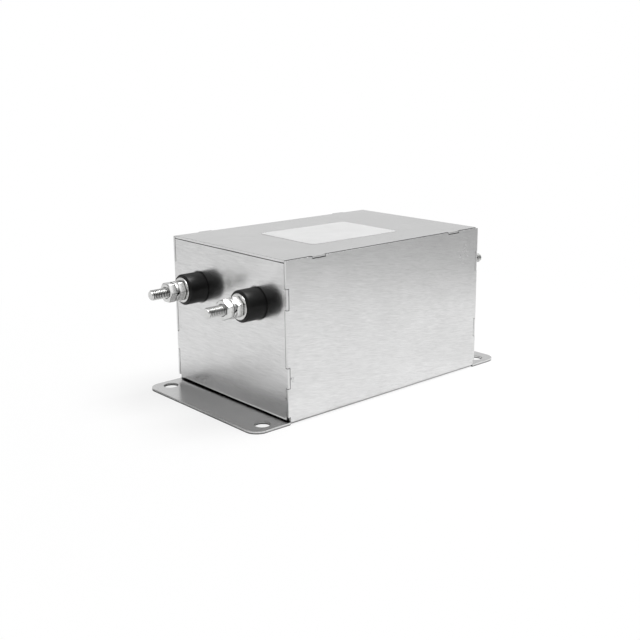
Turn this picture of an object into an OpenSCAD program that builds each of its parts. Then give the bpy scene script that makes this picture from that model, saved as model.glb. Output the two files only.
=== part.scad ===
// Mains line filter in a folded steel case, with two stud terminals at each end.
//
// X runs along the case from the line end to the load end, Y runs across it and
// Z is up. The origin is the centre of the underside. All sizes are millimetres.

/* [Case] */
// Length of the case between its two end faces
case_l = 102; // [92:1:140]
// Width of the case over its side walls
case_w = 70; // [64:1:90]
// Height of the case from its underside to the top of its cover
case_h = 60; // [58:1:80]
// Thickness of the sheet steel
sheet_t = 1; // [0.8:0.1:1.4]
// Inside radius of each fold in the sheet
fold_r = 0.5; // [0.3:0.1:1]
// Open seam round each panel that is let into the chassis
seam = 0.15; // [0.05:0.05:0.3]
// Width of the relief cut where a side wall's fold meets a flange
relief_w = 1; // [0.6:0.1:1.5]
// Height of that relief cut above the underside
relief_h = 3; // [2.5:0.1:5]

/* [Flanges] */
// How far each mounting flange reaches past its end face
flange_l = 15; // [14:0.5:25]
// Radius of the flange corners
flange_r = 5; // [2:0.5:8]
// Diameter of the mounting holes
hole_d = 5.8; // [3:0.1:6.5]
// Distance of a hole's centre from the flange's end edge
hole_end = 7.5; // [5.5:0.5:9]
// Distance of a hole's centre from the flange's side edge
hole_side = 5.5; // [5:0.5:12]

/* [End panels and cover] */
// Height of each side tab on an end panel
end_tab_h = 7.5; // [5:0.5:10]
// Height of the lower tabs' centres above the underside
low_tab_z = 17.4; // [10:0.1:22]
// Height of the upper tabs' centres above the underside
high_tab_z = 46; // [34:0.1:50]
// Length of the foot that is folded in at the bottom of an end panel
foot_l = 6; // [3:0.5:6]
// Width of each tab along the cover's sides
cover_tab_w = 6; // [4:0.5:10]
// Distance of each cover tab's centre from the middle of the cover
cover_tab_x = 36; // [28:0.5:40]

/* [Rating label] */
// Length of the blank label
label_l = 44.5; // [30:0.5:60]
// Width of the blank label
label_w = 33; // [20:0.5:50]
// Thickness of the label film
label_t = 0.1; // [0.05:0.01:0.3]
// Radius of the label's corners
label_r = 2; // [0.5:0.5:5]
// Where the label's centre lies along the cover
label_x = -2; // [-10:0.5:10]
// Where the label's centre lies across the cover
label_y = -2.2; // [-5:0.1:5]
// Angle that the label was stuck on at
label_turn = -1; // [-3:0.5:3]

/* [Terminals] */
// Distance between the two studs of one end
terminal_pitch = 36; // [30:1:40]
// Height of the studs above the underside
terminal_z = 42; // [38:0.5:46]
// Diameter of the studs
stud_d = 4; // [3:0.1:4.5]
// How far a stud reaches out past its end face
stud_out = 21.8; // [19:0.1:28]
// Length of stud left inside past the clamp nut
stud_tail = 1; // [0.5:0.1:2]
// Chamfer at each end of a stud
stud_chamfer = 0.5; // [0.2:0.1:0.8]
// Radial clearance of a stud in its nuts, washers and bushes
stud_gap = 0.05; // [0.02:0.01:0.1]
// Diameter of the black bush outside
bush_d = 11.8; // [11:0.1:14]
// Length of the black bush outside
bush_l = 7.7; // [5:0.1:8.5]
// Radius of the bush's front rim
bush_rim = 0.5; // [0.2:0.1:1]
// Diameter of the bush's spigot, which passes through the end panel
spigot_d = 8; // [7:0.1:8.5]
// How far the spigot reaches past the end panel into the inner bush
spigot_l = 1.5; // [0.5:0.1:2]
// Radial clearance of the spigot in the panel and in the inner bush
spigot_gap = 0.1; // [0.05:0.05:0.2]
// Diameter of the inner bush
inner_bush_d = 12; // [11:0.1:13]
// Length of the inner bush
inner_bush_l = 3; // [2.8:0.1:4]

/* [Terminal hardware] */
// Diameter of the flat washers
washer_d = 9.6; // [8:0.1:11]
// Thickness of the flat washers
washer_t = 0.6; // [0.5:0.1:1]
// Diameter of the spring lock washers
lock_d = 7.6; // [7:0.1:8]
// Thickness of the spring lock washers
lock_t = 1.2; // [0.8:0.1:1.4]
// Width of the slanting cut through a lock washer
lock_cut = 0.9; // [0.5:0.1:1.2]
// Width across the flats of the nuts
nut_af = 7; // [7:0.1:8]
// Thickness of the nuts
nut_t = 2.9; // [2.4:0.1:3.2]
// Turn of the nuts on the first stud of each end
nut_turn_1 = -6; // [-30:1:30]
// Turn of the nuts on the second stud of each end
nut_turn_2 = 30; // [-30:1:30]
// Thickness of the solder lugs
lug_t = 0.8; // [0.5:0.1:1]
// Diameter of a solder lug's ring
lug_d = 8; // [7.5:0.1:9]
// Width of a solder lug's tongue
lug_w = 4; // [3:0.5:5]
// How far the tongue hangs below the stud
lug_drop = 11; // [8:0.5:14]
// Diameter of the lead from each stud to the board
lead_d = 2; // [1:0.1:2.5]

/* [Circuit board] */
// Thickness of the board
board_t = 1.6; // [1:0.1:2]
// Clearance between the board and the inside of each end panel
board_end_gap = 2; // [1:0.5:2.5]
// Clearance between the board and the inside of each side wall
board_side_gap = 4; // [2:0.5:5]
// Height of the standoffs under the board
standoff_h = 6; // [5:0.5:10]
// Width across the flats of the standoffs
standoff_af = 5.5; // [5:0.1:6]
// Distance of each standoff from the board's edges
standoff_inset = 7; // [5:0.5:8]
// Diameter of the board screws
screw_d = 3; // [2.5:0.1:3.5]
// Length of a board screw below its head
screw_l = 5; // [4:0.5:6]
// Diameter of a screw's head
screw_head_d = 5.6; // [5:0.1:6.4]
// Height of a screw's head
screw_head_h = 1.8; // [1.4:0.1:2.4]
// Radial clearance of every pin, lead and screw in its hole
pin_gap = 0.15; // [0.05:0.05:0.25]
// How far each pin and lead reaches below the board
pin_tail = 1.5; // [1:0.1:2.5]

/* [Choke] */
// Outside diameter of the ring core
core_od = 40; // [36:1:42]
// Inside diameter of the ring core
core_id = 26; // [24:1:28]
// Height of the ring core
core_h = 18; // [12:0.5:22]
// Radius of the core's rounded edges
core_edge = 1.5; // [1:0.1:2.5]
// Diameter of the winding wire
wire_d = 2.2; // [1.6:0.1:2.4]
// Clearance between the wire and the core
wire_gap = 0.15; // [0.05:0.05:0.3]
// Number of turns in each winding
turns = 9; // [5:1:10]
// Angle round the core that each winding covers
winding_angle = 136; // [120:1:145]
// Thickness of the choke's carrier plate
carrier_t = 2; // [1.5:0.5:4]
// Thickness of the upright wall between the two windings
divider_t = 1.2; // [1:0.1:2]

/* [Capacitors and resistor] */
// Thickness of a box capacitor
box_cap_t = 10; // [8:0.5:11]
// Width of a box capacitor across the case
box_cap_w = 26.5; // [25:0.5:30]
// Height of a box capacitor
box_cap_h = 19; // [14:0.5:24]
// Distance between a box capacitor's two pins
box_cap_pitch = 22.5; // [20:0.5:23]
// Diameter of a disc capacitor
disc_cap_d = 9; // [7:0.5:10]
// Thickness of a disc capacitor
disc_cap_t = 4; // [3:0.5:5]
// Distance between a disc capacitor's two pins
disc_cap_pitch = 5; // [4:0.5:6]
// Height of a disc capacitor above the board
disc_cap_lift = 1.5; // [1:0.1:3]
// Distance of a disc capacitor's centre from the board's side edge
disc_cap_inset = 7.5; // [6.5:0.5:8]
// Clearance between neighbouring parts on the board
part_gap = 1.2; // [0.8:0.1:1.5]
// Diameter of the bleed resistor
resistor_d = 3.6; // [3:0.1:4.5]
// Length of the bleed resistor's body
resistor_l = 9; // [7:0.5:11]
// Distance between the bleed resistor's two pins
resistor_pitch = 14; // [13:0.5:16]
// Height of the bleed resistor above the board
resistor_lift = 1; // [0.5:0.1:2]
// Diameter of the capacitors' and the resistor's pins
pin_d = 0.8; // [0.6:0.1:1]

/* [Hidden] */
$fn = 64;

// A cutter reaches this far past what it cuts
cut = 1;
// The two ends of the case, and the two studs of an end, as signs of X and Y
LINE = -1;
LOAD = 1;
FIRST = -1;
SECOND = 1;

// Case
end_x = case_l / 2;
side_y = case_w / 2;
wall_y = side_y - sheet_t;
fold_out = fold_r + sheet_t;
cover_under = case_h - sheet_t;
panel_y = wall_y - seam;
foot_y = wall_y - fold_r - seam;
hole_x = end_x + flange_l - hole_end;
hole_y = side_y - hole_side;

// Stack on each stud, measured outwards from the end face and inwards from it
washer_z = bush_l;
inner_nut_z = washer_z + washer_t;
lock_z = inner_nut_z + nut_t;
outer_nut_z = lock_z + lock_t;
lug_in = sheet_t + inner_bush_l;
clamp_in = lug_in + lug_t;
stud_in = clamp_in + nut_t + stud_tail;
lead_in = clamp_in + lead_d / 2;
clear_d = stud_d + 2 * stud_gap;
nut_corner_d = nut_af / cos(30);

// Board
board_z = sheet_t + standoff_h;
board_top = board_z + board_t;
board_x = end_x - sheet_t - board_end_gap;
board_y = wall_y - board_side_gap;
standoff_x = board_x - standoff_inset;
standoff_y = board_y - standoff_inset;
lead_x = end_x - lead_in;

// Choke
wire_r = wire_d / 2;
carrier_top = board_top + carrier_t;
core_z = carrier_top + wire_gap + wire_d + wire_gap;
core_mid_r = (core_od + core_id) / 4;
bend_u = (core_od - core_id) / 4 - core_edge;
bend_v = core_h / 2 - core_edge;
bend_r = core_edge + wire_gap + wire_r;
BEND_STEPS = 4;
WIRE_SIDES = 8;
lead_out_u = bend_u + bend_r + wire_r;
lead_out_v = -bend_v - bend_r;
tail_v = board_z - pin_tail - core_z - core_h / 2;

// Capacitors and resistor
box_cap_x = core_od / 2 + wire_gap + wire_d + part_gap + box_cap_t / 2;
disc_cap_y = board_y - disc_cap_inset;
resistor_x = (box_cap_x + box_cap_t / 2 + lead_x - lead_d / 2) / 2;
resistor_z = board_top + resistor_lift + resistor_d / 2;

// ---------------------------------------------------------------- sheet steel

// A quarter of a folded edge in section, its corner towards +X and -Y
module fold_section() {
    intersection() {
        difference() {
            circle(r = fold_out);
            circle(r = fold_r);
        }
        translate([0, -fold_out]) square(fold_out);
    }
}

// Section of the channel, seen along the case with Y to the right
module channel_section() {
    translate([-side_y + fold_out, 0]) square([case_w - 2 * fold_out, sheet_t]);
    for (side = [0, 1]) mirror([side, 0]) {
        translate([side_y - fold_out, fold_out]) fold_section();
        translate([wall_y, fold_out]) square([sheet_t, case_h - fold_out]);
    }
}

// A flange, which runs a little way into the base, at the load end
module flange() {
    root = end_x - relief_w;
    straight = flange_l + relief_w - flange_r;
    linear_extrude(sheet_t) difference() {
        union() {
            translate([root - fold_out, -foot_y]) square([2 * fold_out, 2 * foot_y]);
            translate([root, -side_y]) square([straight, case_w]);
            translate([root, -side_y + flange_r])
                square([straight + flange_r, case_w - 2 * flange_r]);
            for (side = [-1, 1])
                translate([root + straight, side * (side_y - flange_r)]) circle(r = flange_r);
        }
        for (side = [-1, 1]) translate([hole_x, side * hole_y]) circle(d = hole_d);
    }
}

// Notches in a side wall's end edge for the tabs of an end panel, at the load end
module end_notches() {
    depth = sheet_t + seam;
    for (z = [low_tab_z, high_tab_z], side = [-1, 1])
        translate([end_x - depth, side * side_y - sheet_t - cut, z - end_tab_h / 2 - seam])
            cube([depth + cut, 2 * (sheet_t + cut), end_tab_h + 2 * seam]);
}

// Base, two side walls and two flanges, cut and folded from one sheet
module chassis() color("lightgray") {
    difference() {
        rotate([90, 0, 90]) translate([0, 0, -end_x]) linear_extrude(case_l) channel_section();
        for (end = [0, 1]) mirror([end, 0, 0]) {
            translate([end_x - relief_w, -side_y - cut, -cut])
                cube([relief_w + cut, case_w + 2 * cut, relief_h + cut]);
            end_notches();
        }
        for (x = [-cover_tab_x, cover_tab_x], side = [-1, 1])
            translate([x - cover_tab_w / 2 - seam, side * side_y - sheet_t - cut, cover_under])
                cube([cover_tab_w + 2 * seam, 2 * (sheet_t + cut), sheet_t + cut]);
    }
    for (end = [0, 1]) mirror([end, 0, 0]) flange();
}

// Section of an end panel's plate and foot, seen from the side at the load end
module end_panel_section() {
    translate([0, fold_out]) square([sheet_t, cover_under - sheet_t - seam - fold_out]);
    translate([-fold_r, fold_out]) fold_section();
    translate([-foot_l + sheet_t, 0]) square([foot_l - fold_out, sheet_t]);
}

// Plate with four side tabs, two bush holes and a foot that stands on the base
module end_panel(end) {
    color("gainsboro") mirror([end == LINE ? 1 : 0, 0, 0]) difference() {
        translate([end_x - sheet_t, 0, 0]) union() {
            translate([0, foot_y, sheet_t]) rotate([90, 0, 0])
                linear_extrude(2 * foot_y) end_panel_section();
            translate([0, -panel_y, relief_h])
                cube([sheet_t, 2 * panel_y, cover_under - seam - relief_h]);
            for (z = [low_tab_z, high_tab_z])
                translate([0, -side_y, z - end_tab_h / 2]) cube([sheet_t, case_w, end_tab_h]);
        }
        for (side = [FIRST, SECOND])
            translate([end_x - sheet_t - cut, side * terminal_pitch / 2, terminal_z])
                rotate([0, 90, 0]) cylinder(d = spigot_d + 2 * spigot_gap, h = sheet_t + 2 * cut);
    }
}

// Flat plate let in between the walls, with two tabs along each side
module cover() color("gainsboro") {
    translate([-end_x, -panel_y, cover_under]) cube([case_l, 2 * panel_y, sheet_t]);
    for (x = [-cover_tab_x, cover_tab_x])
        translate([x - cover_tab_w / 2, -side_y, cover_under])
            cube([cover_tab_w, case_w, sheet_t]);
}

// Blank film label on the cover
module label() color("whitesmoke") {
    inner_l = label_l - 2 * label_r;
    inner_w = label_w - 2 * label_r;
    translate([label_x, label_y, case_h]) rotate([0, 0, label_turn]) linear_extrude(label_t) {
        square([label_l, inner_w], center = true);
        square([inner_l, label_w], center = true);
        for (x = [-inner_l / 2, inner_l / 2], y = [-inner_w / 2, inner_w / 2])
            translate([x, y]) circle(r = label_r);
    }
}

// ------------------------------------------------------------------ terminals

// Puts a piece on a stud's axis, with Z pointing outwards from the end face
module at_terminal(end, side) {
    translate([end * end_x, side * terminal_pitch / 2, terminal_z])
        rotate([0, end * 90, 0]) children();
}

module at_each_terminal() {
    for (end = [LINE, LOAD], side = [FIRST, SECOND]) at_terminal(end, side) children();
}

// A flat ring that stands on the XY plane
module ring(outer_d, bore_d, height) {
    difference() {
        cylinder(d = outer_d, h = height);
        translate([0, 0, -cut]) cylinder(d = bore_d, h = height + 2 * cut);
    }
}

// Outer half of a feed-through bush, with a spigot that passes inwards through the panel
module bush(end, side) {
    color("black") at_terminal(end, side) difference() {
        union() {
            rotate_extrude() {
                square([bush_d / 2 - bush_rim, bush_l]);
                square([bush_d / 2, bush_l - bush_rim]);
                translate([bush_d / 2 - bush_rim, bush_l - bush_rim]) intersection() {
                    circle(r = bush_rim);
                    square(bush_rim);
                }
            }
            translate([0, 0, -sheet_t - spigot_l]) cylinder(d = spigot_d, h = sheet_t + spigot_l);
        }
        translate([0, 0, -sheet_t - spigot_l - cut])
            cylinder(d = clear_d, h = bush_l + sheet_t + spigot_l + 2 * cut);
    }
}

// Inner half of the bush, counterbored for the spigot
module inner_bush(end, side) {
    color("dimgray") at_terminal(end, side) difference() {
        translate([0, 0, -lug_in]) ring(inner_bush_d, clear_d, inner_bush_l);
        translate([0, 0, -sheet_t - spigot_l - spigot_gap])
            cylinder(d = spigot_d + 2 * spigot_gap, h = spigot_l + spigot_gap + cut);
    }
}

// Threaded stud, drawn at its full diameter with a chamfer at each end
module stud(end, side) {
    color("silver") at_terminal(end, side) {
        translate([0, 0, -stud_in + stud_chamfer])
            cylinder(d = stud_d, h = stud_in + stud_out - 2 * stud_chamfer);
        translate([0, 0, stud_out - stud_chamfer])
            cylinder(d1 = stud_d, d2 = stud_d - 2 * stud_chamfer, h = stud_chamfer);
        translate([0, 0, -stud_in])
            cylinder(d1 = stud_d - 2 * stud_chamfer, d2 = stud_d, h = stud_chamfer);
    }
}

// Hexagon nut with its corners chamfered at 30 degrees on both faces
module hex_nut() {
    corner_r = nut_corner_d / 2;
    drop = (corner_r - nut_af / 2) * tan(30);
    difference() {
        intersection() {
            cylinder(d = nut_corner_d, h = nut_t, $fn = 6);
            rotate_extrude() polygon([[0, 0], [nut_af / 2, 0], [corner_r, drop],
                                      [corner_r, nut_t - drop], [nut_af / 2, nut_t], [0, nut_t]]);
        }
        translate([0, 0, -cut]) cylinder(d = clear_d, h = nut_t + 2 * cut);
    }
}

// One nut on every stud, each standing at the given height above its end face
module nuts_at(height) {
    for (end = [LINE, LOAD], side = [FIRST, SECOND]) at_terminal(end, side)
        translate([0, 0, height]) rotate([0, 0, side == FIRST ? nut_turn_1 : nut_turn_2]) hex_nut();
}

module flat_washers() {
    color("silver") at_each_terminal() translate([0, 0, washer_z]) ring(washer_d, clear_d, washer_t);
}

module inner_nuts() {
    color("silver") nuts_at(inner_nut_z);
}

// Spring washers, flattened, each with its slanting cut
module lock_washers() {
    color("silver") at_each_terminal() translate([0, 0, lock_z]) difference() {
        ring(lock_d, clear_d, lock_t);
        translate([0, -lock_d / 2, lock_t / 2]) rotate([0, 40, 0])
            cube([lock_cut, lock_d, 3 * lock_t + cut], center = true);
    }
}

module outer_nuts() {
    color("silver") nuts_at(outer_nut_z);
}

// Ring lugs with a tongue that hangs down, one behind each inner bush
module solder_lugs() {
    color("khaki") for (end = [LINE, LOAD], side = [FIRST, SECOND])
        translate([end * (end_x - lug_in), side * terminal_pitch / 2, terminal_z])
            rotate([0, -end * 90, 0]) difference() {
                union() {
                    cylinder(d = lug_d, h = lug_t);
                    translate([end < 0 ? 0 : -lug_drop, -lug_w / 2, 0])
                        mirror([end < 0 ? 1 : 0, 0, 0]) cube([lug_drop, lug_w, lug_t]);
                }
                translate([0, 0, -cut]) cylinder(d = clear_d, h = lug_t + 2 * cut);
            }
}

module clamp_nuts() {
    color("silver") nuts_at(-clamp_in - nut_t);
}

// Solid wire from a lug's tongue straight down through the board
module lead(end, side) {
    top = terminal_z - nut_corner_d / 2 - part_gap;
    bottom = board_z - pin_tail;
    color("orange") translate([end * lead_x, side * terminal_pitch / 2, bottom])
        cylinder(d = lead_d, h = top - bottom);
}

// ---------------------------------------------------------------------- board

// A hole through the board for a pin of the given diameter
module board_hole(x, y, diameter) {
    translate([x, y, board_z - cut]) cylinder(d = diameter + 2 * pin_gap, h = board_t + 2 * cut);
}

module circuit_board() color("forestgreen") difference() {
    translate([-board_x, -board_y, board_z]) cube([2 * board_x, 2 * board_y, board_t]);
    for (end = [LINE, LOAD], side = [FIRST, SECOND]) {
        board_hole(end * standoff_x, side * standoff_y, screw_d);
        board_hole(end * lead_x, side * terminal_pitch / 2, lead_d);
        board_hole(end * box_cap_x, side * box_cap_pitch / 2, pin_d);
        for (pin = [-1, 1])
            board_hole(end * box_cap_x, side * disc_cap_y + pin * disc_cap_pitch / 2, pin_d);
    }
    for (side = [-1, 1]) {
        board_hole(-resistor_x, side * resistor_pitch / 2, pin_d);
        for (u_angle = winding_ends(side))
            board_hole(u_angle[0] * cos(u_angle[1]), u_angle[0] * sin(u_angle[1]), wire_d);
    }
}

module at_each_standoff() {
    for (x = [-standoff_x, standoff_x], y = [-standoff_y, standoff_y])
        translate([x, y, 0]) children();
}

// Threaded hexagon posts that stand on the base
module board_standoffs() {
    bore_l = screw_l - board_t + cut;
    color("silver") at_each_standoff() translate([0, 0, sheet_t]) difference() {
        cylinder(d = standoff_af / cos(30), h = standoff_h, $fn = 6);
        translate([0, 0, standoff_h - bore_l])
            cylinder(d = screw_d + 2 * stud_gap, h = bore_l + cut);
    }
}

module board_screws() {
    color("silver") at_each_standoff() translate([0, 0, board_top]) {
        cylinder(d = screw_head_d, h = screw_head_h);
        translate([0, 0, -screw_l]) cylinder(d = screw_d, h = screw_l);
    }
}

// ---------------------------------------------------------------------- choke

// Moulded plate under the choke, with the wall that keeps its two windings apart
module choke_carrier() color("white") {
    translate([0, 0, board_top]) cylinder(r = core_od / 2 - core_edge, h = carrier_t);
    translate([-core_id / 2 + wire_gap, -divider_t / 2, carrier_top])
        cube([core_id - 2 * wire_gap, divider_t, core_z + core_h - carrier_top + wire_d]);
}

// Ring core with rounded edges
module choke_core() color("darkslategray") translate([0, 0, core_z]) rotate_extrude() {
    inner = core_id / 2 + core_edge;
    outer = core_od / 2 - core_edge;
    translate([core_id / 2, core_edge]) square([(core_od - core_id) / 2, core_h - 2 * core_edge]);
    translate([inner, 0]) square([outer - inner, core_h]);
    for (r = [inner, outer], z = [core_edge, core_h - core_edge])
        translate([r, z]) circle(r = core_edge);
}

// One point of a turn, as its distance outwards and upwards from the middle of
// the core's section: the four rounded corners in order, BEND_STEPS points each
function turn_point(step) =
    let (corner = floor(step / BEND_STEPS) % 4,
         angle = 90 * (corner + (step % BEND_STEPS) / (BEND_STEPS - 1)))
    [(corner == 0 || corner == 3 ? bend_u : -bend_u) + bend_r * cos(angle),
     (corner < 2 ? bend_v : -bend_v) + bend_r * sin(angle)];

// The whole winding: up from the board, round the core, and down to the board
turn_steps = 4 * BEND_STEPS;
all_steps = turns * turn_steps - BEND_STEPS;
winding_uv = concat(
    [[bend_u + bend_r, tail_v], [bend_u + bend_r, -bend_v]],
    [for (step = [0 : all_steps]) turn_point(step)],
    [[lead_out_u - wire_r, lead_out_v], [lead_out_u, lead_out_v - wire_r], [lead_out_u, tail_v]]);
winding_last = len(winding_uv) - 1;

// Angle round the core at one point, for the winding on the side of +Y
function winding_turn(i) =
    90 - winding_angle / 2 + winding_angle * min(max(i - 1, 0), all_steps) / all_steps;

// Distance from the axis and angle of a winding's two ends, on the given side
function winding_ends(side) =
    [for (i = [0, winding_last])
        [core_mid_r + winding_uv[i][0], winding_turn(i) + (side < 0 ? 180 : 0)]];

function winding_point(i) =
    let (r = core_mid_r + winding_uv[i][0], angle = winding_turn(i))
    [r * cos(angle), r * sin(angle), core_z + core_h / 2 + winding_uv[i][1]];

function unit(v) = v / norm(v);

// A ring of points round the wire where it passes point i
function wire_ring(i) =
    let (along = unit(winding_point(min(i + 1, winding_last)) - winding_point(max(i - 1, 0))),
         angle = winding_turn(i),
         turn_way = [-sin(angle), cos(angle), 0],
         across = unit(turn_way - along * (turn_way * along)),
         upright = cross(along, across))
    [for (k = [0 : WIRE_SIDES - 1])
        winding_point(i) + wire_r * (across * cos(360 * k / WIRE_SIDES)
                                     + upright * sin(360 * k / WIRE_SIDES))];

// Enamelled wire wound round one half of the core, swept as one closed tube
module winding(side) {
    points = [for (i = [0 : winding_last]) each wire_ring(i)];
    last = winding_last * WIRE_SIDES;
    sides = [for (i = [0 : winding_last - 1], k = [0 : WIRE_SIDES - 1])
        let (next = (k + 1) % WIRE_SIDES, row = i * WIRE_SIDES)
        [row + k, row + WIRE_SIDES + k, row + WIRE_SIDES + next, row + next]];
    start = [[for (k = [0 : WIRE_SIDES - 1]) k]];
    end = [[for (k = [WIRE_SIDES - 1 : -1 : 0]) last + k]];
    color("peru") rotate([0, 0, side < 0 ? 180 : 0])
        polyhedron(points = points, faces = concat(start, sides, end), convexity = 10);
}

// ------------------------------------------------------ capacitors and resistor

// A pin that reaches down through the board from the given height above it
module pin(y, height) {
    translate([0, y, board_z - pin_tail])
        cylinder(d = pin_d, h = pin_tail + board_t + height);
}

// Film capacitor in a moulded box, across one end's two conductors
module box_capacitor(end) {
    color("gold") translate([end * box_cap_x, 0, 0]) {
        translate([-box_cap_t / 2, -box_cap_w / 2, board_top])
            cube([box_cap_t, box_cap_w, box_cap_h]);
        for (side = [-1, 1]) pin(side * box_cap_pitch / 2, 1);
    }
}

// Ceramic disc capacitor from one conductor to the case
module disc_capacitor(end, side) {
    edge = disc_cap_t / 4;
    middle_z = board_top + disc_cap_lift + disc_cap_d / 2;
    color("steelblue") translate([end * box_cap_x, side * disc_cap_y, 0]) {
        translate([-disc_cap_t / 2, 0, middle_z]) rotate([0, 90, 0]) rotate_extrude() {
            square([disc_cap_d / 2 - edge, disc_cap_t]);
            translate([0, edge]) square([disc_cap_d / 2, disc_cap_t - 2 * edge]);
            for (z = [edge, disc_cap_t - edge])
                translate([disc_cap_d / 2 - edge, z]) intersection() {
                    circle(r = edge);
                    translate([0, -edge]) square([edge, 2 * edge]);
                }
        }
        for (way = [-1, 1]) pin(way * disc_cap_pitch / 2, disc_cap_lift + disc_cap_d / 2);
    }
}

// Resistor that drains the box capacitors, lying between its two bent pins
module bleed_resistor() color("tan") translate([-resistor_x, 0, 0]) {
    translate([0, resistor_l / 2, resistor_z]) rotate([90, 0, 0])
        cylinder(d = resistor_d, h = resistor_l);
    translate([0, resistor_pitch / 2 - pin_d, resistor_z]) rotate([90, 0, 0])
        cylinder(d = pin_d, h = resistor_pitch - 2 * pin_d);
    for (side = [0, 1]) mirror([0, side, 0]) {
        translate([0, resistor_pitch / 2 - pin_d, resistor_z - pin_d]) rotate([90, 0, 90])
            rotate_extrude(angle = 90) translate([pin_d, 0]) circle(d = pin_d);
        pin(resistor_pitch / 2, resistor_z - pin_d - board_top);
    }
}

// -------------------------------------------------------------------- assembly

chassis();
end_panel(LINE);  // line_end_panel
end_panel(LOAD);  // load_end_panel
cover();
label();
bush(LINE, FIRST);  // line_bush_1
bush(LINE, SECOND);  // line_bush_2
bush(LOAD, FIRST);  // load_bush_1
bush(LOAD, SECOND);  // load_bush_2
inner_bush(LINE, FIRST);  // line_inner_bush_1
inner_bush(LINE, SECOND);  // line_inner_bush_2
inner_bush(LOAD, FIRST);  // load_inner_bush_1
inner_bush(LOAD, SECOND);  // load_inner_bush_2
stud(LINE, FIRST);  // line_stud_1
stud(LINE, SECOND);  // line_stud_2
stud(LOAD, FIRST);  // load_stud_1
stud(LOAD, SECOND);  // load_stud_2
flat_washers();
inner_nuts();
lock_washers();
outer_nuts();
solder_lugs();
clamp_nuts();
lead(LINE, FIRST);  // line_lead_1
lead(LINE, SECOND);  // line_lead_2
lead(LOAD, FIRST);  // load_lead_1
lead(LOAD, SECOND);  // load_lead_2
circuit_board();
board_standoffs();
board_screws();
choke_carrier();
choke_core();
winding(FIRST);  // winding_1
winding(SECOND);  // winding_2
box_capacitor(LINE);  // line_box_capacitor
box_capacitor(LOAD);  // load_box_capacitor
disc_capacitor(LINE, FIRST);  // line_disc_capacitor_1
disc_capacitor(LINE, SECOND);  // line_disc_capacitor_2
disc_capacitor(LOAD, FIRST);  // load_disc_capacitor_1
disc_capacitor(LOAD, SECOND);  // load_disc_capacitor_2
bleed_resistor();
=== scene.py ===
"""A mains line filter with stud terminals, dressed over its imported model.

Everything is in metres in the model's own frame: X along the case from the line
end to the load end, Z up, and the origin under the middle of the case.
"""
import math

import bmesh
import bpy
import numpy as np
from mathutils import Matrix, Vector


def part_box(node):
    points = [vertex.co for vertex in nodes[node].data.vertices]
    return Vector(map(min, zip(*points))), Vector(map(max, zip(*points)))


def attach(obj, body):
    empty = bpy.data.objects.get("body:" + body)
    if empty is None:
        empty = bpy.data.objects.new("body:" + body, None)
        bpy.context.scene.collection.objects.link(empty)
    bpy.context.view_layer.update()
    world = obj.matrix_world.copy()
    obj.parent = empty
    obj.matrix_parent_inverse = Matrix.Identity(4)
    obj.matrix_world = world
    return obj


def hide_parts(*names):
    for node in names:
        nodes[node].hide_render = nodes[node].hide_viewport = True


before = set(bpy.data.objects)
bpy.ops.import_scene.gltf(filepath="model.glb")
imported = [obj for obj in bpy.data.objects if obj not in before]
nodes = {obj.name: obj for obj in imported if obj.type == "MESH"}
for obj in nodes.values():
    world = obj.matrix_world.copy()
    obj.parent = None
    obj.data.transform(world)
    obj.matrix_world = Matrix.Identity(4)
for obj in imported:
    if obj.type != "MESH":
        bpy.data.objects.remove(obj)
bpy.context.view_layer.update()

MM = 0.001


# ---------------------------------------------------------------- sheet steel
# The case is three kinds of 1 mm tin-plated steel sheet: a folded chassis, two
# end panels and a cover. Each was blanked and folded, so its cut edges are
# slightly rounded, and the tin shows the mill's grain as short fine streaks.

EDGE_R = 0.13 * MM          # rounding that blanking and plating leave on a cut edge
FOLD_ANGLE = math.radians(30)


def linear(hex_colour, alpha=1.0):
    """An sRGB hex colour as linear RGBA: each channel by the sRGB curve."""
    c = np.array([int(hex_colour[i:i + 2], 16) for i in (1, 3, 5)]) / 255.0
    c = np.where(c <= 0.04045, c / 12.92, ((c + 0.055) / 1.055) ** 2.4)
    return (*c.tolist(), alpha)


def add(tree, kind, inputs=None, **settings):
    """A shader node of that kind. Settings are its properties; inputs maps a
    socket's name or number to a value, or to the output socket linked into it."""
    node = tree.nodes.new("ShaderNode" + kind)
    for name, value in settings.items():
        setattr(node, name, value)
    for key, value in (inputs or {}).items():
        if isinstance(value, bpy.types.NodeSocket):
            tree.links.new(value, node.inputs[key])
        else:
            node.inputs[key].default_value = value
    return node


def material(name):
    """A new material, with its tree, its surface shader and its Object coordinates."""
    made = bpy.data.materials.new(name)
    made.use_nodes = True
    tree = made.node_tree
    tree.nodes.clear()
    shader = add(tree, "BsdfPrincipled")
    add(tree, "OutputMaterial", {"Surface": shader.outputs[0]})
    place = add(tree, "TexCoord").outputs["Object"]
    return made, tree, shader, place


def ramp(tree, value, *stops):
    """A colour ramp on a value. Each stop is (position, hex colour or grey level)."""
    node = add(tree, "ValToRGB", {0: value})
    points = node.color_ramp.elements
    while len(points) < len(stops):
        points.new(0.5)
    for point, (position, colour) in zip(points, stops):
        point.position = position
        grey = not isinstance(colour, str)
        point.color = (colour, colour, colour, 1) if grey else linear(colour)
    return node.outputs[0]


def shaded(tree, colour, shade):
    """A colour multiplied by a grey shade."""
    return add(tree, "Mix", {0: 1.0, 6: colour, 7: shade}, data_type="RGBA",
               blend_type="MULTIPLY").outputs[2]


def stretched(tree, place, long_axis, length, width, detail=3.0, seed=0.0):
    """Noise drawn out along one axis into streaks of that length and width in mm."""
    size = [width, width, width]
    size[long_axis] = length
    fit = add(tree, "Mapping", {0: place, "Location": (seed, seed, seed),
                                "Scale": [1 / (d * MM) for d in size]})
    return add(tree, "TexNoise", {"Vector": fit.outputs[0], "Scale": 1.0, "Detail": detail,
                                  "Roughness": 0.65}).outputs[0]


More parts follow.
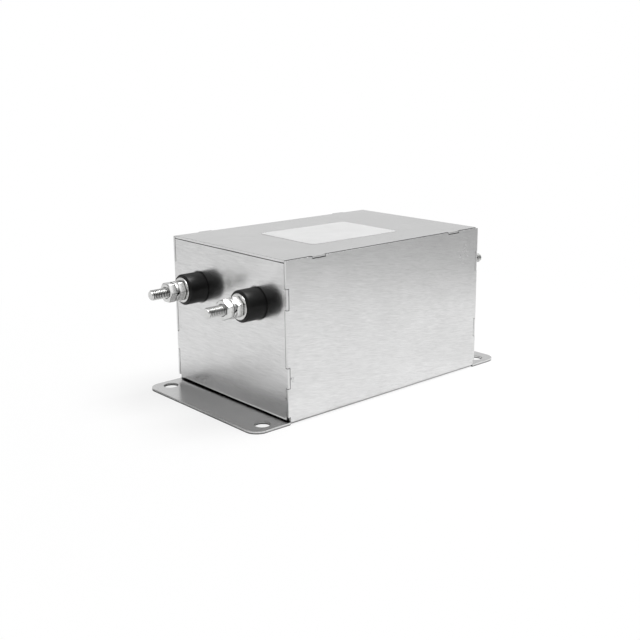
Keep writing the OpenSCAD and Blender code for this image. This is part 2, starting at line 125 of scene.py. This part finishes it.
def specks(tree, place, point, reach, long_axis, length, width, share):
    """A mask of specks of that size in mm, which thin out to none at a reach round a
    point. The share is how much of the noise shows, from 0 to 1, at the point."""
    away = add(tree, "VectorMath", {0: place, 1: [c * MM for c in point]}, operation="DISTANCE")
    patch = add(tree, "MapRange", {"Value": away.outputs["Value"], "From Min": reach * MM,
                                   "From Max": 0.0}, interpolation_type="SMOOTHSTEP")
    noise = stretched(tree, place, long_axis, length, width, detail=2.0, seed=3.0)
    height = add(tree, "Math", {0: noise, 1: patch.outputs[0]}, operation="MULTIPLY").outputs[0]
    return add(tree, "MapRange", {"Value": height, "From Min": 0.68 - 0.3 * share,
                                  "From Max": 0.74 - 0.3 * share}).outputs[0]


def tinned_steel(name, grain, around, lean=0.0, nicks=(), rubs=(), own_corners=False):
    """Satin tinplate. The mill's grain runs along axis number grain, as short fine
    streaks over a broad faint mottle, and blurs what the sheet mirrors across it. It
    leans by that many degrees about Y. Its colour is darkened where ambient occlusion
    finds it hemmed in: painted shade in the joints between sheets, or only in the
    sheet's own corners. At each (point, reach) of the nicks handling has left small
    dark dents, and at each one of the rubs small dull scrapes. Both are in mm, and their
    points lie in the leaning coordinates. The tangent runs around the named axis."""
    made, tree, shader, place = material(name)
    place = add(tree, "Mapping", {0: place, "Rotation": (0, math.radians(lean), 0)}).outputs[0]
    streak = stretched(tree, place, grain, 3.5, 0.24)
    coarse = stretched(tree, place, grain, 9.0, 0.8, seed=7.0)
    mottle = add(tree, "TexNoise", {"Vector": place, "Scale": 1 / (14 * MM),
                                    "Detail": 2.0}).outputs[0]
    colour = ramp(tree, streak, (0.30, "#D2D2D2"), (0.5, "#DDDDDD"), (0.70, "#E5E5E5"))
    colour = shaded(tree, colour, ramp(tree, coarse, (0.3, 0.93), (0.6, 1.0)))
    colour = shaded(tree, colour, ramp(tree, mottle, (0.3, 0.95), (0.7, 1.0)))
    rough = ramp(tree, streak, (0.2, 0.23), (0.8, 0.17))
    height = streak
    for point, reach in rubs:
        mask = specks(tree, place, point, reach, grain, 3.0, 0.9, 0.35)
        rough = add(tree, "Math", {0: mask, 1: 0.25, 2: rough},
                    operation="MULTIPLY_ADD").outputs[0]
    for point, reach in nicks:
        mask = specks(tree, place, point, reach, grain, 0.9, 0.7, 0.5)
        colour = add(tree, "Mix", {0: mask, 6: colour, 7: linear("#4A4A4A")},
                     data_type="RGBA").outputs[2]
        height = add(tree, "Math", {0: height, 1: mask}, operation="SUBTRACT").outputs[0]
    # Painted shade: the colour darkens where ambient occlusion finds the sheet hemmed in, as in
    # the seams between sheets.
    open_air = add(tree, "AmbientOcclusion", {"Distance": 0.8 * MM}, samples=8,
                   only_local=own_corners).outputs["AO"]
    colour = shaded(tree, colour, ramp(tree, open_air, (0.6, 0.05), (0.95, 1.0)))
    bump = add(tree, "Bump", {"Strength": 0.35, "Distance": 0.004 * MM, "Height": height})
    tree.links.new(colour, shader.inputs["Base Color"])
    tree.links.new(rough, shader.inputs["Roughness"])
    tree.links.new(bump.outputs[0], shader.inputs["Normal"])
    tangent = add(tree, "Tangent", direction_type="RADIAL", axis=around)
    tree.links.new(tangent.outputs[0], shader.inputs["Tangent"])
    shader.inputs["Anisotropic"].default_value = 0.7
    shader.inputs["Anisotropic Rotation"].default_value = 0.25
    shader.inputs["Metallic"].default_value = 1.0
    return made


def finish_piece(piece, slot, *replaced):
    """Puts a piece on the one body, in place of its CAD nodes. The slot is not used."""
    bpy.context.scene.collection.objects.link(piece)
    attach(piece, "root")
    if replaced:
        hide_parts(*replaced)
    return piece


def sheet_piece(name, node, finish, slot, edge=EDGE_R, fit=None):
    """The CAD node's own sheet as one merged skin, with its cut edges rounded off. The
    function fit shifts its corners, given as an array, by less than the sheet's play."""
    mesh = nodes[node].data.copy()
    if fit:
        corners = np.empty(3 * len(mesh.vertices))
        mesh.vertices.foreach_get("co", corners)
        mesh.vertices.foreach_set("co", fit(corners.reshape(-1, 3)).ravel())
    mesh.materials.clear()
    mesh.materials.append(finish)
    skin = bmesh.new()
    skin.from_mesh(mesh)
    bmesh.ops.remove_doubles(skin, verts=skin.verts, dist=0.002 * MM)
    bmesh.ops.dissolve_limit(skin, angle_limit=math.radians(1), verts=skin.verts,
                             edges=skin.edges)
    skin.to_mesh(mesh)
    skin.free()
    piece = bpy.data.objects.new(name, mesh)
    bevel = piece.modifiers.new("edges", "BEVEL")
    bevel.width = edge
    bevel.segments = 2
    bevel.limit_method = "ANGLE"
    bevel.angle_limit = FOLD_ANGLE
    bevel.use_clamp_overlap = True
    return finish_piece(piece, slot, node)


case_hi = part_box("chassis")[1]
SHEET = 1.0 * MM
PLAY = 0.3 * MM             # how far the walls' tops and the cover's tabs miss each other


def wall_tops_down(corners):
    """The side walls end a little below the cover's face, which bares its edge."""
    top = corners[:, 2] > case_hi.z - PLAY
    corners[top, 2] -= PLAY
    return corners


def tabs_up(corners):
    """The undersides of the cover's tabs clear the floors of their notches."""
    in_wall = np.abs(corners[:, 1]) > case_hi.y - SHEET / 2
    under = corners[:, 2] < case_hi.z - SHEET / 2
    corners[in_wall & under, 2] += PLAY
    return corners


steel_walls = tinned_steel("tinned steel, grain along the walls", 0, "Z", lean=-9.0,
                           nicks=[((-50.8, -35.0, 9.0), 5.0)],
                           rubs=[((34.0, -35.0, 56.0), 24.0)])
steel_ends = tinned_steel("tinned steel, grain across the ends", 1, "Z",
                          nicks=[((-51.0, -34.2, 9.0), 5.0)])
steel_cover = tinned_steel("tinned steel, grain along the cover", 0, "Y", own_corners=True)
sheet_piece("folded_chassis", "chassis", steel_walls, "tinned_steel", fit=wall_tops_down)
sheet_piece("line_end_plate", "line_end_panel", steel_ends, "tinned_steel")
sheet_piece("load_end_plate", "load_end_panel", steel_ends, "tinned_steel")
sheet_piece("cover_plate", "cover", steel_cover, "tinned_steel", fit=tabs_up)


# ---------------------------------------------------------------- rating label
# A blank label of silver-grey polyester film, stuck on the cover. Its face is
# satin and very even, and it is paler than the metal round it.

def label_film():
    """Polyester film: almost white, satin, with the slightest unevenness."""
    made, tree, shader, place = material("satin polyester film")
    cloud = add(tree, "TexNoise", {"Vector": place, "Scale": 1 / (9 * MM), "Detail": 3.0})
    tint = ramp(tree, cloud.outputs[0], (0.3, "#D3D3D3"), (0.7, "#DADADA"))
    grain = add(tree, "TexNoise", {"Vector": place, "Scale": 1 / (0.25 * MM), "Detail": 2.0})
    bump = add(tree, "Bump", {"Strength": 0.1, "Distance": 0.003 * MM,
                              "Height": grain.outputs[0]})
    tree.links.new(tint, shader.inputs["Base Color"])
    tree.links.new(bump.outputs[0], shader.inputs["Normal"])
    shader.inputs["Roughness"].default_value = 0.45
    return made


sheet_piece("blank_label", "label", label_film(), "label_film", edge=0.03 * MM)


# ------------------------------------------------------------- terminal bushes
# Black nylon feed-through bushes, one on each stud outside the panel. They are
# turned bodies with a rounded front rim, and carry a faint moulded sheen.

AROUND = 96                 # columns round every turned piece


def grid_mesh(name, points, finish, closed_rows=False, sharp=FOLD_ANGLE):
    """A mesh from a grid of points (rows, columns, 3). The columns close into a
    ring; the rows close too if closed_rows, and otherwise each end is capped."""
    rows, columns = points.shape[:2]
    index = np.arange(rows * columns).reshape(rows, columns)
    if closed_rows:
        index = np.vstack([index, index[:1]])
    here, above = index[:-1], index[1:]
    faces = np.stack([here, np.roll(here, -1, 1), np.roll(above, -1, 1), above], -1)
    faces = faces.reshape(-1, 4).tolist()
    if not closed_rows:
        faces += [index[0][::-1].tolist(), index[-1].tolist()]
    mesh = bpy.data.meshes.new(name)
    mesh.from_pydata(points.reshape(-1, 3), [], faces)
    skin = bmesh.new()
    skin.from_mesh(mesh)
    bmesh.ops.recalc_face_normals(skin, faces=skin.faces)
    skin.to_mesh(mesh)
    skin.free()
    mesh.polygons.foreach_set("use_smooth", np.ones(len(mesh.polygons), bool))
    mesh.set_sharp_from_angle(angle=sharp)
    mesh.materials.append(finish)
    return mesh


def turned(profile, around=AROUND):
    """Points of a turned body: profile rows (distance along the axis, radius) are
    carried round the axis, so a point is (s, r cos a, r sin a)."""
    s, r = np.array(profile, float).T[:, :, None]
    a = np.linspace(0, 2 * np.pi, around, endpoint=False)[None, :]
    return np.stack([s + 0 * a, r * np.cos(a), r * np.sin(a)], -1)


def arc(centre, radius, start, end, steps=6):
    """Profile points on an arc from one angle to another, in degrees."""
    a = np.radians(np.linspace(start, end, steps))
    return [(centre[0] + radius * math.cos(t), centre[1] + radius * math.sin(t)) for t in a]


END_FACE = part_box("load_end_panel")[1].x
STUDS = ["line_stud_1", "line_stud_2", "load_stud_1", "load_stud_2"]


def front(node):
    """How far the outer face of a node at the load end stands out, in mm."""
    return (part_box(node)[1].x - END_FACE) / MM


def on_stud(points, stud):
    """Points whose X is the distance out of the end face, in mm, put on a stud's axis."""
    lo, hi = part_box(stud)
    out = -1.0 if stud.startswith("line") else 1.0
    place = np.array([out * END_FACE, (lo.y + hi.y) / 2, (lo.z + hi.z) / 2])
    return points * [out, 1.0, 1.0] * MM + place


def black_nylon():
    """Moulded black nylon: a soft gloss over a very fine spark-eroded grain."""
    made, tree, shader, place = material("moulded black nylon")
    cloud = add(tree, "TexNoise", {"Vector": place, "Scale": 1 / (2 * MM), "Detail": 4.0})
    tint = ramp(tree, cloud.outputs[0], (0.3, "#080808"), (0.7, "#0E0E0E"))
    grain = add(tree, "TexNoise", {"Vector": place, "Scale": 1 / (0.12 * MM), "Detail": 2.0})
    bump = add(tree, "Bump", {"Strength": 0.2, "Distance": 0.01 * MM,
                              "Height": grain.outputs[0]})
    rough = ramp(tree, cloud.outputs[0], (0.2, 0.40), (0.8, 0.32))
    shader.inputs["Specular IOR Level"].default_value = 0.25
    tree.links.new(tint, shader.inputs["Base Color"])
    tree.links.new(rough, shader.inputs["Roughness"])
    tree.links.new(bump.outputs[0], shader.inputs["Normal"])
    return made


BORE_R = 2.05               # bore of every piece on a stud, in mm
BUSH_R = 5.9
BUSH_L = front("load_bush_1")
BUSH_RIM = 0.5
SPIGOT_R = 4.0
SPIGOT_IN = 2.5
bush_profile = (
    [(-SPIGOT_IN, BORE_R), (-SPIGOT_IN, SPIGOT_R), (0.02, SPIGOT_R), (0.02, BUSH_R)]
    + arc((BUSH_L - BUSH_RIM, BUSH_R - BUSH_RIM), BUSH_RIM, 90, 0)
    + [(BUSH_L, BORE_R + 0.2), (BUSH_L - 0.2, BORE_R)])
nylon = black_nylon()
for stud in STUDS:
    bush = stud.replace("stud", "bush")
    mesh = grid_mesh(bush + "_moulding", on_stud(turned(bush_profile), stud), nylon,
                     closed_rows=True)
    finish_piece(bpy.data.objects.new(bush + "_moulding", mesh), "bush_plastic", bush)


# ------------------------------------------------------------- threaded studs
# M4 studs of nickel-plated steel, threaded along their whole length with a
# rolled 0.7 mm thread and chamfered at both ends.

def plated_steel(name, shade_roots=False):
    """Nickel plate: a sharp metal gloss, dulled a little by fine tool marks. For a
    thread, its colour darkens with the mesh's own depth value: painted shade in the
    roots of the thread.
    Otherwise its colour darkens where ambient occlusion finds pieces meeting: painted
    shade between parts."""
    made, tree, shader, place = material(name)
    marks = add(tree, "TexNoise", {"Vector": place, "Scale": 1 / (0.35 * MM),
                                   "Detail": 4.0}).outputs[0]
    colour = ramp(tree, marks, (0.3, "#C6C6C5"), (0.7, "#E0E0DF"))
    if shade_roots:
        # Painted shade: the colour darkens to a tenth towards the roots of the thread.
        depth = add(tree, "Attribute", attribute_name="depth").outputs["Fac"]
        colour = shaded(tree, colour, ramp(tree, depth, (0.3, 1.0), (0.9, 0.10)))
    else:
        # Painted shade: the colour darkens where ambient occlusion finds pieces meeting.
        open_air = add(tree, "AmbientOcclusion", {"Distance": 0.8 * MM}, samples=6)
        dull = ramp(tree, open_air.outputs["AO"], (0.2, 0.25), (0.8, 1.0))
        colour = shaded(tree, colour, dull)
    bump = add(tree, "Bump", {"Strength": 0.15, "Distance": 0.01 * MM, "Height": marks})
    tree.links.new(colour, shader.inputs["Base Color"])
    tree.links.new(ramp(tree, marks, (0.3, 0.16), (0.7, 0.28)), shader.inputs["Roughness"])
    tree.links.new(bump.outputs[0], shader.inputs["Normal"])
    shader.inputs["Metallic"].default_value = 1.0
    return made


STUD_IN = (END_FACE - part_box("load_stud_1")[0].x) / MM
STUD_OUT = front("load_stud_1")
STUD_R = 2.0
PITCH = 0.7
THREAD_DEPTH = 0.6134 * PITCH
TIP_CHAMFER = 0.5


def threaded_rod(start, end, around=48, per_pitch=10):
    """A right-hand thread. At distance s along the axis and angle a, the place in
    the pitch is p = s / pitch - a / 2 pi. The radius falls from the crest, an eighth
    of the pitch wide, down a straight flank to the root, a quarter wide, and it stays
    inside the 45 degree chamfer cone at each end. Returned are the points and how
    deep each lies in the thread, from 0 at the crest to 1 at the root."""
    rows = int((end - start) / PITCH * per_pitch)
    s = np.linspace(start, end, rows)[:, None]
    a = np.linspace(0, 2 * np.pi, around, endpoint=False)[None, :]
    from_root = np.abs((s / PITCH - a / (2 * np.pi)) % 1.0 - 0.5)
    rise = np.clip((from_root - 1 / 8) / (7 / 16 - 1 / 8), 0, 1)
    cone = STUD_R - TIP_CHAMFER + np.minimum(s - start, end - s)
    r = np.minimum(STUD_R - THREAD_DEPTH * (1 - rise), cone)
    points = np.stack([s + 0 * a, r * np.cos(a), r * np.sin(a)], -1)
    return points, (np.minimum(STUD_R, cone) - r) / THREAD_DEPTH


# The studs' nickel carries painted shade in the roots of its thread.
nickel_shaded_roots = plated_steel("nickel plate, painted shade in the thread roots", shade_roots=True)
for stud in STUDS:
    rod, depth = threaded_rod(-STUD_IN, STUD_OUT)
    mesh = grid_mesh(stud + "_thread", on_stud(rod, stud), nickel_shaded_roots, sharp=math.radians(40))
    mesh.attributes.new("depth", "FLOAT", "POINT").data.foreach_set("value", depth.ravel())
    finish_piece(bpy.data.objects.new(stud + "_thread", mesh), "plated_steel", stud)


# ---------------------------------------------------------------- flat washers
# Stamped steel washers, one against the front of each bush. Stamping rounds the
# rim on the outer face, and the plating makes it a thin bright ring.

def joined(name, grids, finish, closed_rows=True, sharp=FOLD_ANGLE):
    """One mesh of several separate grids, such as the same washer on four studs."""
    meshes = [grid_mesh(name, grid, finish, closed_rows, sharp) for grid in grids]
    skin = bmesh.new()
    for mesh in meshes:
        skin.from_mesh(mesh)
    whole = meshes[0]
    skin.to_mesh(whole)
    skin.free()
    for mesh in meshes[1:]:
        bpy.data.meshes.remove(mesh)
    return whole


def ring_profile(start, end, inner, outer, edge):
    """Section of a flat ring with all four corners rounded."""
    return (arc((start + edge, inner + edge), edge, 270, 180, 4)
            + arc((start + edge, outer - edge), edge, 180, 90, 4)
            + arc((end - edge, outer - edge), edge, 90, 0, 4)
            + arc((end - edge, inner + edge), edge, 0, -90, 4))


nickel = plated_steel("bright nickel plate")
washer_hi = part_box("flat_washers")[1]
stud_y = (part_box("load_stud_2")[0].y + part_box("load_stud_2")[1].y) / 2
WASHER_R = (washer_hi.y - stud_y) / MM
WASHER_FACE = front("flat_washers")
washer = turned(ring_profile(BUSH_L, WASHER_FACE, BORE_R, WASHER_R, 0.15))
mesh = joined("stamped_washers", [on_stud(washer, stud) for stud in STUDS], nickel)
finish_piece(bpy.data.objects.new("stamped_washers", mesh), "plated_steel", "flat_washers")


# ------------------------------------------------------------------------ nuts
# M4 hexagon nuts, 7 mm across the flats: on each stud one against the washer,
# one over the lock washer, and one inside the case. Both faces are chamfered.

NUT_AF = 7.0
NUT_FACE = front("inner_nuts")
NUT_T = NUT_FACE - WASHER_FACE
LOCK_FACE = front("lock_washers")
NUT_TURN = {"1": -6.0, "2": 30.0}      # degrees that the nuts of each stud are turned by


def hex_nut(start, turn, around=120, soften=40):
    """A hexagon nut. Round the axis the outside is at half the flats' width over the
    p-norm of the three cosines to the flats' directions, which rounds its corners.
    The section runs from the bore over the 30 degree chamfer to the other face."""
    a = np.linspace(0, 2 * np.pi, around, endpoint=False)
    flats = np.radians([30.0, 90.0, 150.0])[:, None] + math.radians(turn)
    spread = (np.abs(np.cos(a - flats)) ** soften).sum(0) ** (1 / soften)
    outside = NUT_AF / 2 / spread
    face = NUT_AF / 2 * 0.955
    drop = np.maximum(outside - face, 0) * math.tan(math.radians(30))
    flat = np.ones(around)
    rows = [(0.3 * flat, BORE_R * flat), (0 * flat, (BORE_R + 0.3) * flat),
            (0 * flat, face * flat), (drop * 0.98, outside - 0.02), (drop + 0.06, outside),
            (NUT_T - drop - 0.06, outside), (NUT_T - drop * 0.98, outside - 0.02),
            (NUT_T * flat, face * flat), (NUT_T * flat, (BORE_R + 0.3) * flat),
            ((NUT_T - 0.3) * flat, BORE_R * flat)]
    s = np.array([row[0] for row in rows]) + start
    r = np.array([row[1] for row in rows])
    return np.stack([s, r * np.sin(a), r * np.cos(a)], -1)


for name, node, start in [("washer_side_nuts", "inner_nuts", WASHER_FACE),
                          ("outer_hex_nuts", "outer_nuts", LOCK_FACE),
                          ("inside_hex_nuts", "clamp_nuts", 1.0 - STUD_IN)]:
    grids = [on_stud(hex_nut(start, NUT_TURN[stud[-1]]), stud) for stud in STUDS]
    mesh = joined(name, grids, nickel, sharp=math.radians(25))
    finish_piece(bpy.data.objects.new(name, mesh), "plated_steel", node)


# ---------------------------------------------------------------- lock washers
# Spring lock washers between the two nuts of each stud: one turn of square
# wire, cut through at a slant, with its two ends a little out of line.

LOCK_R = 3.8
LOCK_T = LOCK_FACE - NUT_FACE
LOCK_CUT = 0.9


def spring_washer(start, steps=72):
    """One turn of a rounded square section, carried round the axis at even angles.
    The angle at each point is sheared along the axis, which slants the two ends."""
    section = np.array(ring_profile(0.03, LOCK_T - 0.03, BORE_R + 0.05, LOCK_R, 0.15))
    half_gap = LOCK_CUT / 2 / LOCK_R
    t = np.linspace(half_gap, 2 * np.pi - half_gap, steps)[:, None]
    s, r = section[:, 0][None, :], section[:, 1][None, :]
    slant = (s - LOCK_T / 2) / LOCK_R * math.tan(math.radians(40))
    a = t + slant + np.pi
    return np.stack([start + s + 0 * a, r * np.cos(a), r * np.sin(a)], -1)


grids = [on_stud(spring_washer(NUT_FACE), stud) for stud in STUDS]
mesh = joined("spring_washers", grids, nickel, closed_rows=False)
finish_piece(bpy.data.objects.new("spring_washers", mesh), "plated_steel", "lock_washers")


# ------------------------------------------------------------------ inner parts
# Everything that the closed case hides: bush halves, lugs and wires, the board
# with its posts and screws, the choke, the capacitors and the resistor.

def inner_finish(name, dark, pale, grain, rough, metallic=0.0, bump=0.1):
    """A finish that wanders between two colours in grains of that size in mm, and
    is raised by the same grains."""
    made, tree, shader, place = material(name)
    noise = add(tree, "TexNoise", {"Vector": place, "Scale": 1 / (grain * MM), "Detail": 4.0})
    tint = ramp(tree, noise.outputs[0], (0.35, dark), (0.65, pale))
    gloss = ramp(tree, noise.outputs[0], (0.3, rough), (0.7, rough * 0.8))
    raised = add(tree, "Bump", {"Strength": bump, "Distance": 0.02 * MM,
                                "Height": noise.outputs[0]})
    tree.links.new(tint, shader.inputs["Base Color"])
    tree.links.new(gloss, shader.inputs["Roughness"])
    tree.links.new(raised.outputs[0], shader.inputs["Normal"])
    shader.inputs["Metallic"].default_value = metallic
    return made


def dress(finish, *names):
    """Gives CAD nodes that keep their own shape a finish."""
    for name in names:
        mesh = nodes[name].data
        mesh.materials.clear()
        mesh.materials.append(finish)


ENDS = ["line", "load"]
dress(inner_finish("grey moulded nylon", "#2B2B2B", "#363636", 0.4, 0.5),
      *[f"{end}_inner_bush_{n}" for end in ENDS for n in (1, 2)])
dress(inner_finish("tinned brass strip", "#BFB99E", "#D2CCB4", 0.6, 0.3, metallic=1.0),
      "solder_lugs")
dress(inner_finish("tinned copper wire", "#C08A68", "#D69E7C", 0.5, 0.25, metallic=1.0),
      *[f"{end}_lead_{n}" for end in ENDS for n in (1, 2)])
dress(inner_finish("green solder mask over woven glass", "#12502A", "#1B6236", 0.8, 0.3),
      "circuit_board")
dress(inner_finish("turned and plated steel", "#B8B7B3", "#CFCECA", 0.4, 0.3, metallic=1.0),
      "board_standoffs", "board_screws")
dress(inner_finish("natural moulded nylon", "#D8D3C4", "#E4DFD1", 1.0, 0.45), "choke_carrier")
dress(inner_finish("epoxy-coated ferrite", "#1B2320", "#26302C", 0.5, 0.4, bump=0.3),
      "choke_core")
dress(inner_finish("enamelled copper", "#8A3E16", "#A54D1E", 1.5, 0.15, metallic=1.0),
      "winding_1", "winding_2")
dress(inner_finish("yellow moulded capacitor case", "#C9A21E", "#D6AF2C", 0.7, 0.4),
      *[f"{end}_box_capacitor" for end in ENDS])
dress(inner_finish("blue epoxy dip", "#1E4E8C", "#2A5E9E", 0.8, 0.2, bump=0.4),
      *[f"{end}_disc_capacitor_{n}" for end in ENDS for n in (1, 2)])
dress(inner_finish("tan resistor lacquer", "#B39A70", "#C2A97E", 0.6, 0.3), "bleed_resistor")


# ---------------------------------------------------------- floor, light, camera
# The filter stands on a white floor that runs out to a white surround, its colour
# painted darker towards its front right as a painted shade. Large soft light comes
# from above, and what the metal mirrors is brightest overhead and beyond the filter,
# and dimmer beside and behind the camera.

CAMERA_TURN = -43.26        # degrees round the object, and its height above the floor
CAMERA_RISE = 13.05
CAMERA_FAR = 0.39495
CAMERA_AIM = (0.00878, -0.00644, 0.03570)
CAMERA_LENS = 54.14         # mm, on a sensor 36 mm wide
CAMERA_SHIFT = (-0.0562, -0.0483)
FLOOR_HALF = 3.0
WHITE = (1, 1, 1, 1)


def white_floor():
    """Matt white board. The camera sees it glow, so that it runs into the white
    surround and still keeps the object's shadow. Its colour is painted darker towards
    its front right, from 0.94 to 0.42: a painted shade, which the metal mirrors."""
    made, tree, shader, place = material("matt white floor, painted shade front right")
    # Painted shade: the floor's colour falls from 0.94 to 0.42 towards its front right.
    right = add(tree, "VectorMath", {0: place, 1: (0.7071, -0.7071, 0.0)},
                operation="DOT_PRODUCT").outputs["Value"]
    floor_shade = add(tree, "MapRange", {"Value": right, "From Min": 0.17, "From Max": 0.32,
                                  "To Min": 0.94, "To Max": 0.42}).outputs[0]
    tree.links.new(floor_shade, shader.inputs["Base Color"])
    shader.inputs["Roughness"].default_value = 0.9
    shader.inputs["Specular IOR Level"].default_value = 0.2
    rays = add(tree, "LightPath")
    away = add(tree, "VectorMath", {0: place}, operation="LENGTH").outputs["Value"]
    share = add(tree, "MapRange", {"Value": away, "From Min": 0.08, "From Max": 0.22,
                                   "To Min": 0.8, "To Max": 1.0}).outputs[0]
    share = add(tree, "Math", {0: share, 1: rays.outputs["Is Camera Ray"]},
                operation="MULTIPLY")
    glow = add(tree, "Emission", {"Color": WHITE, "Strength": 1.0})
    both = add(tree, "MixShader", {0: share.outputs[0], 1: shader.outputs[0],
                                   2: glow.outputs[0]})
    tree.links.new(both.outputs[0], tree.nodes["Material Output"].inputs[0])
    return made


corners = np.array([[-1, -1, 0], [1, -1, 0], [1, 1, 0], [-1, 1, 0]], float) * FLOOR_HALF
mesh = bpy.data.meshes.new("floor")
mesh.from_pydata(corners, [], [[0, 1, 2, 3]])
mesh.materials.append(white_floor())
floor = bpy.data.objects.new("floor", mesh)
bpy.context.scene.collection.objects.link(floor)

world = bpy.data.worlds.new("soft surround")
bpy.context.scene.world = world
world.use_nodes = True
tree = world.node_tree
tree.nodes.clear()
turn = math.radians(CAMERA_TURN)
way = add(tree, "TexCoord").outputs["Generated"]
ahead = add(tree, "VectorMath", {0: way, 1: (-math.sin(turn), math.cos(turn), 0.0)},
            operation="DOT_PRODUCT").outputs["Value"]
overhead = add(tree, "VectorMath", {0: way, 1: (0.0, 0.0, 1.0)},
               operation="DOT_PRODUCT").outputs["Value"]
wall = add(tree, "Background", {"Color": ramp(tree, ahead, (0.25, 0.33), (0.75, 0.73))})
canopy = add(tree, "Background", {"Color": WHITE, "Strength": 1.3})
glare = add(tree, "MixShader", {0: ramp(tree, overhead, (0.4, 0.0), (0.65, 1.0)),
                                1: wall.outputs[0], 2: canopy.outputs[0]})
rays = add(tree, "LightPath")
light = add(tree, "Background", {"Color": WHITE, "Strength": 0.40})
plain = add(tree, "Background", {"Color": WHITE, "Strength": 1.0})
mirrored = add(tree, "MixShader", {0: rays.outputs["Is Glossy Ray"], 1: light.outputs[0],
                                   2: glare.outputs[0]})
surround = add(tree, "MixShader", {0: rays.outputs["Is Camera Ray"], 1: mirrored.outputs[0],
                                   2: plain.outputs[0]})
add(tree, "OutputWorld", {"Surface": surround.outputs[0]})


def soft_box(name, place, aim, size, power):
    """A square area lamp at a place, facing a point, with its power in watts."""
    data = bpy.data.lights.new(name, "AREA")
    data.shape = "SQUARE"
    data.size = size
    data.energy = power
    lamp = bpy.data.objects.new(name, data)
    back = np.array(place) - np.array(aim)
    lamp.location = place
    lamp.rotation_euler = (math.acos(back[2] / np.linalg.norm(back)), 0,
                           math.atan2(back[0], -back[1]))
    bpy.context.scene.collection.objects.link(lamp)


soft_box("softbox over the load end", (0.80, -0.30, 1.95), (0, 0, 0), 1.0, 36.0)

data = bpy.data.cameras.new("camera")
data.sensor_width = 36.0
data.lens = CAMERA_LENS
data.shift_x, data.shift_y = CAMERA_SHIFT
data.clip_start = 0.01
data.clip_end = 20.0
camera = bpy.data.objects.new("camera", data)
rise = math.radians(CAMERA_RISE)
back = np.array([math.sin(turn) * math.cos(rise), -math.cos(turn) * math.cos(rise),
                 math.sin(rise)])
camera.location = np.array(CAMERA_AIM) + CAMERA_FAR * back
camera.rotation_euler = (math.pi / 2 - rise, 0, turn)
bpy.context.scene.collection.objects.link(camera)
bpy.context.scene.camera = camera
bpy.context.scene.view_settings.view_transform = "Standard"
